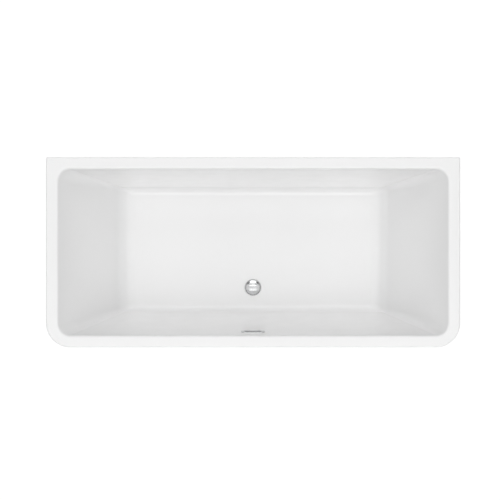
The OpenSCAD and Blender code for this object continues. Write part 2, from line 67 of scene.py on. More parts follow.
MM = 0.001
HALF_X, HALF_Y, RIM_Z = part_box("basin")[1]
flange_low, flange_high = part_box("waste_flange")
WASTE = middle_of("waste_flange") * Vector((1, 1, 0))
FLANGE_R = (flange_high.x - flange_low.x) / 2
FOOT_PLACES = [f"{row}_{column}" for row in ("front", "back") for column in ("left", "middle", "right")]
CROSSBARS = ["crossbar_far_left", "crossbar_left", "crossbar_right", "crossbar_far_right"]
RAILS = ["rail_front", "rail_back"]
UPRIGHTS = ["upright_left", "upright_right"]
UPSIDE_DOWN = Matrix.Rotation(math.pi, 4, "X")
BOARD_HEAD_R = 4.5 * MM
SCREW_X = 44.5 * MM
OVERFLOW_DROP = 64 * MM


# ---- Sizes and colours that a user would change ----


def length(name, text, millimetres):
    return bpy.props.FloatProperty(name=name, description=text, default=millimetres * MM,
                                   min=0.0, unit="LENGTH", subtype="DISTANCE")


def slope(name, text, degrees):
    return bpy.props.FloatProperty(name=name, description=text, default=math.radians(degrees),
                                   min=0.0, unit="ROTATION", subtype="ANGLE")


def colour(name, text, value):
    return bpy.props.FloatVectorProperty(name=name, description=text, default=value, size=3,
                                         min=0.0, max=1.0, subtype="COLOR")


def strength(name, text, value):
    return bpy.props.FloatProperty(name=name, description=text, default=value, min=0.0)


class BasinSizes(bpy.types.PropertyGroup):
    rim_width: length("Rim width", "Width of the flat rim", 48)
    depth: length("Depth", "Depth from the rim to the floor", 430)
    skin: length("Skin", "Thickness of the acrylic sheet", 4)
    shell: length("Shell", "Thickness of the sheet with its backing", 7)
    end_slope: slope("End slope", "Slope of the end walls from the vertical", 30)
    back_slope: slope("Back slope", "Slope of the wall side from the vertical", 9.5)
    front_slope: slope("Front slope", "Slope of the front wall from the vertical", 12)
    end_fillet: length("End fillet", "Radius between the end walls and the floor", 95)
    side_fillet: length("Side fillet", "Radius between the long walls and the floor", 38)
    side_crease: slope("Side crease", "Angle left where the long fillets meet the floor", 8)
    mouth_edge: length("Mouth edge", "Rounding of the mouth's edge", 12)
    mouth_corner: length("Mouth corner", "Corner radius at the mouth", 52)
    floor_corner: length("Floor corner", "Corner radius at the floor", 15)
    rim_edge: length("Rim edge", "Rounding of the rim's outer edge", 8)
    front_corner: length("Front corner", "Outer radius of the front corners", 100)
    back_corner: length("Back corner", "Outer radius of the corners at the wall", 5)
    lip: length("Lip", "Height of the lip that hangs from the rim", 30)
    panel: length("Panel", "Thickness of the lip and the skirt", 5)


class SkirtSizes(bpy.types.PropertyGroup):
    draft: slope("Draft", "Inward slope towards the floor", 4)
    gap: length("Floor gap", "Gap between the skirt and the floor", 4)
    seam: length("Seam", "Gap between the skirt and the lip", 1)
    step: length("Step", "Distance of the skirt's top edge inside the lip's face", 1.6)
    back_return: length("Return", "Width of the flange at the wall", 70)


class Colours(bpy.types.PropertyGroup):
    acrylic: colour("Acrylic", "White sanitary acrylic", (0.86, 0.86, 0.86))
    backing: colour("Backing", "Resin and glass-fibre backing", (0.62, 0.60, 0.52))
    chrome: colour("Chrome", "Polished chrome", (0.60, 0.605, 0.61))
    steel: colour("Galvanised steel", "Tubes of the underframe", (0.50, 0.52, 0.54))
    zinc: colour("Zinc plate", "Stems, nuts and screws", (0.60, 0.61, 0.62))
    ply: colour("Plywood", "Face of the base board", (0.52, 0.34, 0.17))
    timber: colour("Timber", "Battens under the rim", (0.60, 0.42, 0.22))
    rubber: colour("Rubber", "Pads and seals", (0.018, 0.018, 0.019))
    plastic: colour("Pipe plastic", "Waste and overflow bodies", (0.78, 0.78, 0.76))
    caps: colour("Cap plastic", "End caps of the tubes", (0.022, 0.022, 0.024))
    brass: colour("Brass", "Plunger and cartridge", (0.70, 0.50, 0.20))
    hose: colour("Hose", "Flexible overflow hose", (0.46, 0.47, 0.48))
    floor: colour("Floor", "Studio floor", (0.12, 0.12, 0.12))


class StudioSettings(bpy.types.PropertyGroup):
    camera_height: length("Camera height", "Height of the camera over the rim", 9000)
    camera_x: length("Camera to the left", "Offset of the camera along the tub", 12.7)
    camera_y: length("Camera to the back", "Offset of the camera towards the wall", 9.6)
    view_width: length("View width", "Width that the view takes in at the rim", 2050)
    glow: strength("Floor glow", "Own light of the studio floor", 0.93)
    sky: strength("Sky", "Strength of the light all round", 0.15)
    far_front: strength("Far front", "Softbox far in front of the tub", 2.52)
    front: strength("Front", "Softbox over the space in front of the tub", 1.235)
    top: strength("Top", "Softbox straight above", 0.595)
    back: strength("Back", "Softbox beyond the wall side", 2.35)
    far_back: strength("Far back", "Softbox far beyond the wall side", 2.2)
    sides: strength("Sides", "Softboxes beyond both ends", 0.90)


# ---- Mesh work ----


def object_mode():
    if bpy.context.object and bpy.context.object.mode != "OBJECT":
        bpy.ops.object.mode_set(mode="OBJECT")


def deselect():
    """Leaves edit mode with nothing selected."""
    object_mode()
    bpy.ops.object.select_all(action="DESELECT")


def activate(*objects):
    """Selects only these objects; the first is the active one."""
    deselect()
    for obj in objects:
        obj.select_set(True)
    bpy.context.view_layer.objects.active = objects[0]
    return objects[0]


def edit(obj):
    """Enters edit mode with the whole mesh selected."""
    activate(obj)
    bpy.ops.object.mode_set(mode="EDIT")
    bpy.ops.mesh.select_all(action="SELECT")


def face_outwards():
    """Turns all faces of the edited mesh outwards and leaves edit mode."""
    bpy.ops.mesh.select_all(action="SELECT")
    bpy.ops.mesh.normals_make_consistent(inside=False)
    object_mode()


def begin(name):
    """An empty mesh object in edit mode, named and ready for primitives."""
    deselect()
    bpy.ops.mesh.primitive_plane_add(size=1.0, location=(0, 0, 0))
    obj = bpy.context.object
    obj.name = obj.data.name = name
    edit(obj)
    bpy.ops.mesh.delete(type="VERT")
    return obj


def select_in(obj, kind, test):
    """Selects the vertices or edges of the edited mesh that pass a test."""
    bpy.ops.mesh.select_mode(type=kind)
    bpy.ops.mesh.select_all(action="DESELECT")
    mesh = bmesh.from_edit_mesh(obj.data)
    for item in mesh.verts if kind == "VERT" else mesh.edges:
        if test(item):
            item.select_set(True)
    mesh.select_flush_mode()
    bmesh.update_edit_mesh(obj.data)


def rings_of(obj):
    """The layer of the edited mesh that numbers each vertex with its level."""
    return bmesh.from_edit_mesh(obj.data).verts.layers.int["ring"]


class Level:
    """A level of a stack: a rectangle with round corners."""

    def __init__(self, half_x, back, front, back_r, front_r, z):
        self.half_x = half_x
        self.back = back
        self.front = front
        self.radii = (back_r, front_r)
        self.centre = Vector((0, (back - front) / 2, z))

    def add(self, obj, steps):
        bpy.ops.mesh.primitive_plane_add(size=2.0, location=(0, 0, 0))
        bpy.ops.transform.resize(value=(self.half_x, (self.back + self.front) / 2, 1),
                                 center_override=(0, 0, 0))
        bpy.ops.transform.translate(value=self.centre)
        for side, radius in zip((1, -1), self.radii):
            ring = rings_of(obj)
            select_in(obj, "VERT", lambda v: v[ring] == 0 and (v.co.y - self.centre.y) * side > 0)
            bpy.ops.mesh.bevel(offset=radius, offset_type="OFFSET", segments=steps, profile=0.5,
                               affect="VERTICES", clamp_overlap=False)


class Circle:
    """A level of a stack: a circle round a centre, turned to face along a direction."""

    def __init__(self, centre, radius, along=(0, 0, 1)):
        self.centre = Vector(centre)
        self.radius = radius
        self.turn = Vector(along).to_track_quat("Z", "Y").to_euler()

    def add(self, obj, steps):
        bpy.ops.mesh.primitive_circle_add(vertices=steps, radius=self.radius, location=self.centre,
                                          rotation=self.turn)


def stack(name, levels, steps, closed=False):
    """A closed solid through a stack of outlines; a closed stack joins its last to its first."""
    near, nudge = 0.01 * MM, 0.02 * MM
    for i, level in enumerate(levels):
        # Two outlines in one plane can be bridged the wrong way round.
        if (i or closed) and abs(level.centre.z - levels[i - 1].centre.z) < near:
            level.centre.z += nudge
    obj = begin(name)
    bmesh.from_edit_mesh(obj.data).verts.layers.int.new("ring")
    for number, level in enumerate(levels, 1):
        level.add(obj, steps)
        mesh = bmesh.from_edit_mesh(obj.data)
        ring = mesh.verts.layers.int["ring"]
        for vert in mesh.verts:
            if vert[ring] == 0:
                vert[ring] = number
        bmesh.update_edit_mesh(obj.data)
    bpy.ops.mesh.select_mode(type="FACE")
    bpy.ops.mesh.select_all(action="SELECT")
    bpy.ops.mesh.delete(type="ONLY_FACE")
    count = len(levels)
    pairs = [(i, i + 1) for i in range(1, count)] + ([(count, 1)] if closed else [])
    for pair in pairs:
        ring = rings_of(obj)
        select_in(obj, "EDGE", lambda e: e.verts[0][ring] == e.verts[1][ring] in pair)
        bpy.ops.mesh.bridge_edge_loops()
    for end in () if closed else (1, count):
        ring = rings_of(obj)
        select_in(obj, "EDGE", lambda e: e.verts[0][ring] == e.verts[1][ring] == end)
        bpy.ops.mesh.edge_face_add()
    face_outwards()
    return obj


def mm(*points):
    """Points given in millimetres."""
    return [tuple(value * MM for value in point) for point in points]


def turned(name, centre, profile, steps=48, closed=False):
    """A turned shape round an upright axis, from pairs of radius and height."""
    rings = [Circle((centre[0], centre[1], z), r) for r, z in profile]
    return stack(name, rings, steps, closed)


def rounded(points, radius, steps=3):
    """An open or closed profile whose inner points become arcs."""
    result = [points[0]]
    for before, corner, after in zip(points, points[1:], points[2:]):
        a, b, c = Vector(before), Vector(corner), Vector(after)
        reach = min(radius, (a - b).length * 0.45, (c - b).length * 0.45)
        start, end = b + (a - b).normalized() * reach, b + (c - b).normalized() * reach
        for i in range(steps + 1):
            t = i / steps
            result.append(tuple(start * (1 - t) ** 2 + b * 2 * t * (1 - t) + end * t * t))
    return result + [points[-1]]


def cutter(shape, size, place, turn=(0, 0, 0)):
    """A solid for cutting: a box, or a cylinder with its radius and depth."""
    deselect()
    if shape == "box":
        bpy.ops.mesh.primitive_cube_add(size=1.0, location=place, rotation=turn, scale=size)
    else:
        bpy.ops.mesh.primitive_cone_add(vertices=48, radius1=size[0], radius2=size[1], depth=size[2],
                                        location=place, rotation=turn)
    return bpy.context.object


def cut(obj, *tools):
    """Takes the tools out of a solid and removes them."""
    for tool in tools:
        apply_modifier(obj, "BOOLEAN", object=tool, operation="DIFFERENCE", solver="EXACT")
        bpy.data.objects.remove(tool)


def apply_modifier(obj, kind, **settings):
    activate(obj)
    modifier = obj.modifiers.new(kind.title(), kind)
    for key, value in settings.items():
        setattr(modifier, key, value)
    bpy.ops.object.modifier_apply(modifier=modifier.name)


def smooth(obj, degrees=30):
    activate(obj)
    bpy.ops.object.shade_smooth_by_angle(angle=math.radians(degrees))
    apply_modifier(obj, "WEIGHTED_NORMAL", keep_sharp=True, weight=50)


def join(name, *objects):
    obj = activate(*objects)
    bpy.ops.object.join()
    obj.name = obj.data.name = name
    return obj


def put(obj, matrix):
    """Moves a mesh to its place and leaves the object at the origin."""
    activate(obj)
    obj.matrix_world = matrix
    bpy.ops.object.transform_apply(location=True, rotation=True, scale=True)
    return obj


def finish_piece(obj, node=None, slot=None, finish=None):
    """Gives a piece the finish of its CAD node's slot, or of the slot or finish named, and the node's body.
    """
    slot = slot or SLOTS[node]
    obj.data.materials.clear()
    obj.data.materials.append(finish_of(finish or slot))
    for layer in list(obj.data.attributes):
        if layer.name == "ring":
            obj.data.attributes.remove(layer)
    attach(obj, BODIES.get(node, "tub"))
    if node:
        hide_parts(node)


def twin(source, name):
    """A copy of an object with its own mesh, selected."""
    obj = bpy.data.objects.new(name, source.data.copy())
    bpy.context.scene.collection.objects.link(obj)
    return activate(obj)


def refine(node, edge, steps=2):
    """Shows a copy of a CAD node with its edges rounded, by a radius in millimetres, in its place."""
    obj = twin(frame["nodes"][node], node + "_piece")
    edit(obj)
    bpy.ops.mesh.remove_doubles(threshold=0.00001)
    bpy.ops.mesh.dissolve_limited(angle_limit=math.radians(1.0))
    object_mode()
    sharp = 35
    apply_modifier(obj, "BEVEL", width=edge * MM, segments=steps, limit_method="ANGLE",
                   angle_limit=math.radians(sharp), harden_normals=False)
    smooth(obj, sharp)
    finish_piece(obj, node)


# ---- Finishes ----


class Finish:
    """A material under construction, with short ways to add patterns to its shader."""

    def __init__(self, name, colour, rough, metal=0.0, coat=0.0):
        self.material = bpy.data.materials.new(name)
        self.material.use_nodes = True
        self.nodes = self.material.node_tree.nodes
        self.links = self.material.node_tree.links
        self.shader = self.nodes["Principled BSDF"]
        self.tone = colour
        for socket, value in (("Base Color", (*colour, 1.0)), ("Roughness", rough), ("Metallic", metal),
                              ("Coat Weight", coat), ("Coat Roughness", 0.05), ("IOR", 1.5)):
            self.set(socket, value)
        self.place = self.nodes.new("ShaderNodeTexCoord").outputs["Object"]
        self.height = None
        self.material.diffuse_color = (*colour, 1.0)

    def set(self, socket, value):
        self.shader.inputs[socket].default_value = value

    def pattern(self, kind, place, output, **inputs):
        """A node that reads the piece's own place, with its inputs by name; gives one output."""
        node = self.nodes.new("ShaderNode" + kind)
        for name, value in inputs.items():
            node.inputs[name].default_value = value
        self.links.new(place or self.place, node.inputs["Vector"])
        return node.outputs[output]

    def stretched(self, x, y, z, turn=(0, 0, 0)):
        return self.pattern("Mapping", None, "Vector", Scale=(x, y, z), Rotation=turn)

    def noise(self, scale, detail=2.0, place=None, rough=0.5, distortion=0.0):
        return self.pattern("TexNoise", place, "Fac", Scale=scale, Detail=detail, Roughness=rough,
                            Distortion=distortion)

    def cells(self, scale, feature="F1", place=None, output="Distance"):
        socket = self.pattern("TexVoronoi", place, output, Scale=scale)
        socket.node.feature = feature
        return socket

    def waves(self, scale, axis, distortion=0.0, place=None, detail=2.0):
        socket = self.pattern("TexWave", place, "Fac", Scale=scale, Distortion=distortion, Detail=detail)
        socket.node.bands_direction = axis
        return socket

    def ramp(self, value, *stops):
        """Stops are pairs of a position and a colour or a grey."""
        node = self.nodes.new("ShaderNodeValToRGB")
        elements = node.color_ramp.elements
        while len(elements) < len(stops):
            elements.new(0.5)
        for element, (position, tone) in zip(elements, stops):
            element.position = position
            element.color = (tone, tone, tone, 1.0) if isinstance(tone, float) else (*tone, 1.0)
        self.links.new(value, node.inputs["Fac"])
        return node.outputs["Color"]

    def tint(self, value, low, high, start=0.3, end=0.7):
        """Lets a pattern move between two shades of the finish's own colour."""
        return self.ramp(value, (start, shade(self.tone, low)), (end, shade(self.tone, high)))

    def mix(self, factor, first, second, blend="MIX"):
        """Mixes two sockets by a socket or a number."""
        node = self.nodes.new("ShaderNodeMix")
        node.data_type = "RGBA"
        node.blend_type = blend
        if isinstance(factor, float):
            node.inputs["Factor"].default_value = factor
        else:
            self.links.new(factor, node.inputs["Factor"])
        self.links.new(first, node.inputs[6])
        self.links.new(second, node.inputs[7])
        return node.outputs[2]

    def paint(self, socket):
        self.links.new(socket, self.shader.inputs["Base Color"])

    def gloss(self, value, low, high):
        """Lets a pattern move the roughness between two values."""
        self.links.new(self.ramp(value, (0.3, low), (0.7, high)), self.shader.inputs["Roughness"])

    def bump(self, value, depth, strength=1.0):
        """Adds a relief of a depth in metres on top of those before it."""
        node = self.nodes.new("ShaderNodeBump")
        node.inputs["Distance"].default_value = depth
        node.inputs["Strength"].default_value = strength
        self.links.new(value, node.inputs["Height"])
        if self.height:
            self.links.new(self.height, node.inputs["Normal"])
        self.height = node.outputs["Normal"]
        self.links.new(self.height, self.shader.inputs["Normal"])


def shade(tone, factor):
    return tuple(min(1.0, c * factor) for c in tone)


def acrylic(tone):
    """Cast acrylic: high gloss with a barely wavy surface."""
    f = Finish("White acrylic", tone, 0.21, coat=0.15)
    f.set("Coat Roughness", 0.10)
    f.paint(f.tint(f.noise(3.0, 3.0), 0.995, 1.004))
    f.gloss(f.noise(14.0, 4.0), 0.18, 0.24)
    f.bump(f.noise(22.0, 1.0), 0.00005, 0.25)
    return f.material


def backing(tone):
    """Sprayed resin with chopped glass strands, lumpy and satin."""
    f = Finish("Glass-fibre backing", tone, 0.42)
    strands = f.cells(160.0, "DISTANCE_TO_EDGE", f.stretched(1.0, 1.0, 1.0, (0.5, 0.3, 0.8)))
    crossed = f.noise(240.0, 3.0, f.stretched(1.0, 0.12, 1.0, (0.4, 0.9, 0.7)), 0.6, 1.4)
    along = f.noise(240.0, 3.0, f.stretched(0.12, 1.0, 1.0, (1.1, 0.2, 0.3)), 0.6, 1.4)
    fibres = f.mix(0.5, crossed, along)
    patches = f.tint(f.noise(7.0, 4.0), 0.82, 1.12, 0.35, 0.65)
    light = f.tint(fibres, 0.75, 1.25, 0.40, 0.60)
    f.paint(f.mix(0.45, patches, light))
    f.gloss(f.noise(30.0, 3.0), 0.28, 0.60)
    f.bump(f.noise(28.0, 3.0), 0.0016)
    f.bump(fibres, 0.0005)
    f.bump(strands, 0.0002, 0.4)
    return f.material


def chrome(tone):
    f = Finish("Polished chrome", tone, 0.20, metal=1.0)
    f.gloss(f.noise(900.0, 3.0), 0.17, 0.24)
    f.paint(f.tint(f.noise(120.0, 3.0), 0.97, 1.02))
    return f.material


def galvanised(tone):
    """Zinc spangle: flat crystals of slightly different greys."""
    f = Finish("Galvanised steel", tone, 0.42, metal=0.9)
    crystals = f.ramp(f.cells(140.0, "F1", None, "Color"), (0.25, 0.38), (0.75, 0.62))
    f.paint(f.mix(0.6, f.tint(f.noise(18.0, 4.0), 0.86, 1.1), crystals, "OVERLAY"))
    f.gloss(f.noise(60.0, 4.0), 0.32, 0.55)
    f.bump(f.noise(400.0, 3.0), 0.00006)
    return f.material


def zinc_plate(tone):
    f = Finish("Zinc plate", tone, 0.30, metal=1.0)
    f.paint(f.tint(f.noise(70.0, 3.0), 0.88, 1.1))
    f.gloss(f.noise(300.0, 4.0), 0.22, 0.42)
    f.bump(f.noise(900.0, 2.0), 0.00003)
    return f.material


def stainless(tone):
    """Satin steel with fine lines from the brush."""
    f = Finish("Stainless steel", tone, 0.28, metal=1.0)
    lines = f.noise(500.0, 2.0, f.stretched(1.0, 1.0, 0.04))
    f.paint(f.tint(lines, 0.9, 1.08))
    f.gloss(lines, 0.22, 0.40)
    f.bump(lines, 0.00003)
    return f.material


def brass(tone):
    f = Finish("Turned brass", tone, 0.25, metal=1.0)
    f.paint(f.tint(f.noise(90.0, 3.0), 0.85, 1.1))
    f.gloss(f.noise(200.0, 3.0), 0.18, 0.36)
    f.bump(f.waves(900.0, "Z", 0.4), 0.00002)
    return f.material


def plywood(tone):
    """Rotary-cut face grain along the board, with thin veneers showing on its edges."""
    f = Finish("Sealed plywood", tone, 0.45, coat=0.15)
    grain = f.noise(9.0, 8.0, f.stretched(0.6, 9.0, 1.0), 0.62, 1.2)
    face = f.ramp(grain, (0.30, shade(tone, 0.62)), (0.48, tone), (0.70, shade(tone, 1.30)))
    layers = f.tint(f.waves(105.0, "Z"), 0.5, 1.2, 0.25, 0.6)
    normal = f.nodes.new("ShaderNodeNewGeometry").outputs["True Normal"]
    flat = f.nodes.new("ShaderNodeMath")
    flat.operation = "ABSOLUTE"
    f.links.new(f.pattern("SeparateXYZ", normal, "Z"), flat.inputs[0])
    f.paint(f.mix(flat.outputs[0], layers, face))
    f.gloss(grain, 0.38, 0.62)
    f.bump(grain, 0.00015)
    return f.material


def timber(tone):
    """Planed softwood with growth rings drawn out along the batten."""
    f = Finish("Planed timber", tone, 0.55)
    long_way = f.stretched(0.5, 5.0, 5.0)
    rings = f.waves(9.0, "DIAGONAL", 5.0, long_way, 3.0)
    fine = f.noise(60.0, 5.0, f.stretched(0.15, 3.0, 3.0), 0.6)
    broad = f.ramp(rings, (0.2, shade(tone, 0.72)), (0.6, tone), (0.9, shade(tone, 1.22)))
    f.paint(f.mix(0.35, broad, f.tint(fine, 0.6, 1.25, 0.35, 0.65)))
    f.gloss(fine, 0.45, 0.68)
    f.bump(fine, 0.0002)
    return f.material


def moulded(name, tone, rough, grain=0.00006, grain_size=900.0, coat=0.0):
    """Injection-moulded plastic or rubber with a fine spark texture."""
    f = Finish(name, tone, rough, coat=coat)
    f.paint(f.tint(f.noise(45.0, 4.0), 0.93, 1.06))
    f.gloss(f.noise(220.0, 3.0), rough - 0.06, rough + 0.08)
    f.bump(f.cells(grain_size), grain, 0.7)
    return f.material


def finish_of(slot):
    """The finish of one of the record's material slots; all are made on first use."""
    if not FINISHES:
        c = bpy.context.scene.bathtub_colours
        FINISHES.update({
            "white_acrylic": acrylic(c.acrylic),
            "backing": backing(c.backing),
            "plywood": plywood(c.ply),
            "timber": timber(c.timber),
            "galvanised_steel": galvanised(c.steel),
            "black_plastic": moulded("Cap plastic", c.caps, 0.50),
            "foot_rubber": moulded("Pad rubber", c.rubber, 0.62, 0.00012, 600.0),
            "zinc_hardware": zinc_plate(c.zinc),
            "chrome": chrome(c.chrome),
            "seal_rubber": moulded("Seal rubber", shade(c.rubber, 0.8), 0.55),
            "white_plastic": moulded("Pipe plastic", c.plastic, 0.34, 0.00003, 1200.0, 0.1),
            "brass": brass(c.brass),
            "stainless_steel": stainless(shade(c.zinc, 1.02)),
            "grey_hose": moulded("Hose plastic", c.hose, 0.46),
        })
    return FINISHES[slot]


FINISHES = {}
SLOTS = {part["node"]: part["material_slot"] for part in frame["record"]["subparts"]}
BODIES = {node: body for body, nodes in frame["record"]["behaviour"]["bodies"].items() for node in nodes}


# ---- Basin ----


class BasinShape:
    """The walls of the basin as heights and distances from its middle."""

    def __init__(self, sizes):
        self.s = sizes
        self.floor_z = RIM_Z - sizes.depth

    def straight(self, z, mouth, angle, t):
        return mouth - (RIM_Z - z) * math.tan(angle) + t / math.cos(angle)

    def wall(self, z, mouth, angle, fillet, crease, t):
        """Distance of a wall at a height: t is the distance outside its inner face."""
        fillet_z = self.floor_z + fillet * math.cos(crease)
        fillet_x = self.straight(fillet_z, mouth, angle, 0) - fillet / math.cos(angle)
        edge = self.s.mouth_edge
        edge_z = RIM_Z - edge
        edge_x = self.straight(edge_z, mouth, angle, 0) + edge / math.cos(angle)
        if z < fillet_z - (fillet + t) * math.sin(angle):
            return fillet_x + math.sqrt(max(0.0, (fillet + t) ** 2 - (fillet_z - z) ** 2))
        if t == 0 and z > edge_z + edge * math.sin(angle):
            return edge_x - math.sqrt(max(0.0, edge ** 2 - (z - edge_z) ** 2))
        return self.straight(z, mouth, angle, t)

    def level(self, z, t):
        s = self.s
        half_x = self.wall(z, HALF_X - s.rim_width, s.end_slope, s.end_fillet, 0.0, t)
        mouth = HALF_Y - s.rim_width
        back = self.wall(z, mouth, s.back_slope, s.side_fillet, s.side_crease, t)
        front = self.wall(z, mouth, s.front_slope, s.side_fillet, s.side_crease, t)
        share = (z - self.floor_z) / s.depth
        flare = max(0.0, back - self.straight(z, mouth, s.back_slope, t))
        corner = s.floor_corner + (s.mouth_corner - s.floor_corner) * share + t + flare * (share > 0.5)
        return Level(half_x, back, front, corner, corner, z)

    def rim(self, inset, z):
        s = self.s
        return Level(HALF_X - inset, HALF_Y - inset, HALF_Y - inset,
                     max(s.back_corner - inset, 0.6 * MM), s.front_corner - inset, z)

    def bottom(self, t, steps):
        """Levels from the floor up through the fillet, closer together near the floor."""
        rise = self.s.end_fillet * (1 - math.sin(self.s.end_slope)) + t
        heights = [self.floor_z - t + rise * (i / steps) ** 1.7 for i in range(steps + 1)]
        return [self.level(z, t) for z in heights]


class BATHTUB_OT_basin(bpy.types.Operator):
    """Builds the acrylic skin of the basin with its rim and lip, and the backing behind it"""

    bl_idname = "bathtub.basin"
    bl_label = "Basin"

    def execute(self, context):
        s = context.scene.bathtub_basin
        shape = BasinShape(s)
        middle_z = (shape.floor_z + RIM_Z) / 2
        inner = shape.bottom(0, 16) + [shape.level(middle_z, 0)]
        mouth_z = RIM_Z - s.mouth_edge
        inner += [shape.level(mouth_z + s.mouth_edge * math.sin(math.radians(a)), 0)
                  for a in range(6, 91, 12)]
        edge = s.rim_edge
        rim = [shape.rim(edge * (1 - math.sin(a)), RIM_Z - edge * (1 - math.cos(a)))
               for a in (math.radians(15 * i) for i in range(7))]
        lip_z = RIM_Z - s.lip
        nose = 1.2 * MM
        skin_z = RIM_Z - s.skin
        rim += [shape.rim(0, lip_z + nose), shape.rim(0.3 * nose, lip_z + 0.3 * nose),
                shape.rim(nose, lip_z), shape.rim(s.panel - nose, lip_z),
                shape.rim(s.panel, lip_z + nose), shape.rim(s.panel, skin_z)]
        outer = [shape.level(skin_z - 0.2 * MM, s.skin), shape.level(middle_z, s.skin)]
        outer += reversed(shape.bottom(s.skin, 10))
        basin = stack("acrylic_basin", inner + rim + outer, 14)

        hug = s.skin - 0.1 * MM
        under_skin_z = skin_z - 0.1 * MM
        layer_in = shape.bottom(hug, 8) + [shape.level(middle_z, hug), shape.level(under_skin_z, hug)]
        layer_edge = s.panel + 8.5 * MM
        layer_top = [shape.rim(layer_edge, under_skin_z), shape.rim(layer_edge, RIM_Z - s.shell)]
        layer_out = [shape.level(RIM_Z - s.shell, s.shell), shape.level(middle_z, s.shell)]
        layer_out += reversed(shape.bottom(s.shell, 8))
        laminate = stack("fibre_backing", layer_in + layer_top + layer_out, 8)

        recess_r, recess_h, hole_r, hole_h = FLANGE_R + 1.7 * MM, 20 * MM, 24.5 * MM, 60 * MM
        seat = WASTE + Vector((0, 0, shape.floor_z - 3 * MM + recess_h / 2))
        floor = WASTE + Vector((0, 0, shape.floor_z))
        cut(basin, cutter("round", (recess_r, recess_r, recess_h), seat),
            cutter("round", (hole_r, hole_r, hole_h), floor))
        wide_r = hole_r + 0.4 * MM
        cut(laminate, cutter("round", (wide_r, wide_r, hole_h), floor))
        slot_place, slot_turn = overflow_place()
        half_l, end_r, through = 38.5 * MM, 11 * MM, 40 * MM
        for piece in (basin, laminate):
            cut(piece, cutter("box", (2 * half_l, 2 * end_r, through), slot_place, slot_turn))
            for x in (-half_l, half_l):
                place = slot_place + Vector((x, 0, 0))
                cut(piece, cutter("round", (end_r, end_r, through), place, slot_turn))
        smooth(basin, 32)
        smooth(laminate, 40)
        finish_piece(basin, "basin")
        finish_piece(laminate, slot="white_acrylic", finish="backing")
        return {"FINISHED"}


def overflow_place():
    """The middle of the overflow slot on the front wall, and the wall's turn about X."""
    s = bpy.context.scene.bathtub_basin
    shape = BasinShape(s)
    z = RIM_Z - OVERFLOW_DROP
    return Vector((0, -shape.level(z, 0).front, z)), Euler((s.front_slope - math.pi / 2, 0, 0))


# ---- Skirt ----


class BATHTUB_OT_skirt(bpy.types.Operator):
    """Builds the three-sided skirt with its tongue inside the lip and its flanges at the wall"""

    bl_idname = "bathtub.skirt"
    bl_label = "Skirt"

    def execute(self, context):
        s = context.scene.bathtub_skirt
        basin = context.scene.bathtub_basin
        seam_z = RIM_Z - basin.lip - s.seam
        low = s.gap
        panel = basin.panel
        nose = 1.2 * MM
        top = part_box("skirt")[1].z

        def draft(z):
            return s.step + (seam_z - z) * math.tan(s.draft)

        def level(inset, back, z):
            return Level(HALF_X - inset, HALF_Y - back, HALF_Y - inset, back_corner,
                         basin.front_corner - inset, z)

        def slanted(inset, z, from_z=None):
            """A level inside the slanted face, whose place is taken at this height or another."""
            return level(draft(from_z or z) + inset, inset, z)

        back_corner = 0.8 * MM
        tongue, tongue_t = 7.2 * MM, 4 * MM
        behind = panel + 0.5 * MM
        foot = 18 * MM
        foot_z, middle_z = low + panel, 0.28
        skirt = stack("acrylic_skirt", [
            slanted(nose, low), slanted(0.3 * nose, low + 0.3 * nose, low), slanted(0, low + nose),
            slanted(0, middle_z), slanted(0, seam_z - nose),
            slanted(0.3 * nose, seam_z - 0.3 * nose, seam_z), slanted(nose, seam_z),
            level(tongue, behind, seam_z), level(tongue, behind, top),
            level(tongue + tongue_t, behind + tongue_t, top),
            level(tongue + tongue_t, behind + tongue_t, seam_z - 9 * MM),
            slanted(panel, seam_z - 14 * MM), slanted(panel, low + 9 * MM),
            slanted(panel + 1.2 * MM, low + 6.2 * MM, low + 6 * MM),
            slanted(panel + 4 * MM, foot_z, low), slanted(panel + foot, foot_z, low),
            slanted(panel + foot, low)], 16, closed=True)
        open_back = (2 * (HALF_X - s.back_return), 0.2, 1.4)
        cut(skirt, cutter("box", open_back, (0, HALF_Y, 0.5)))
        smooth(skirt, 32)
        finish_piece(skirt, "skirt")
        return {"FINISHED"}


# ---- Waste and overflow ----


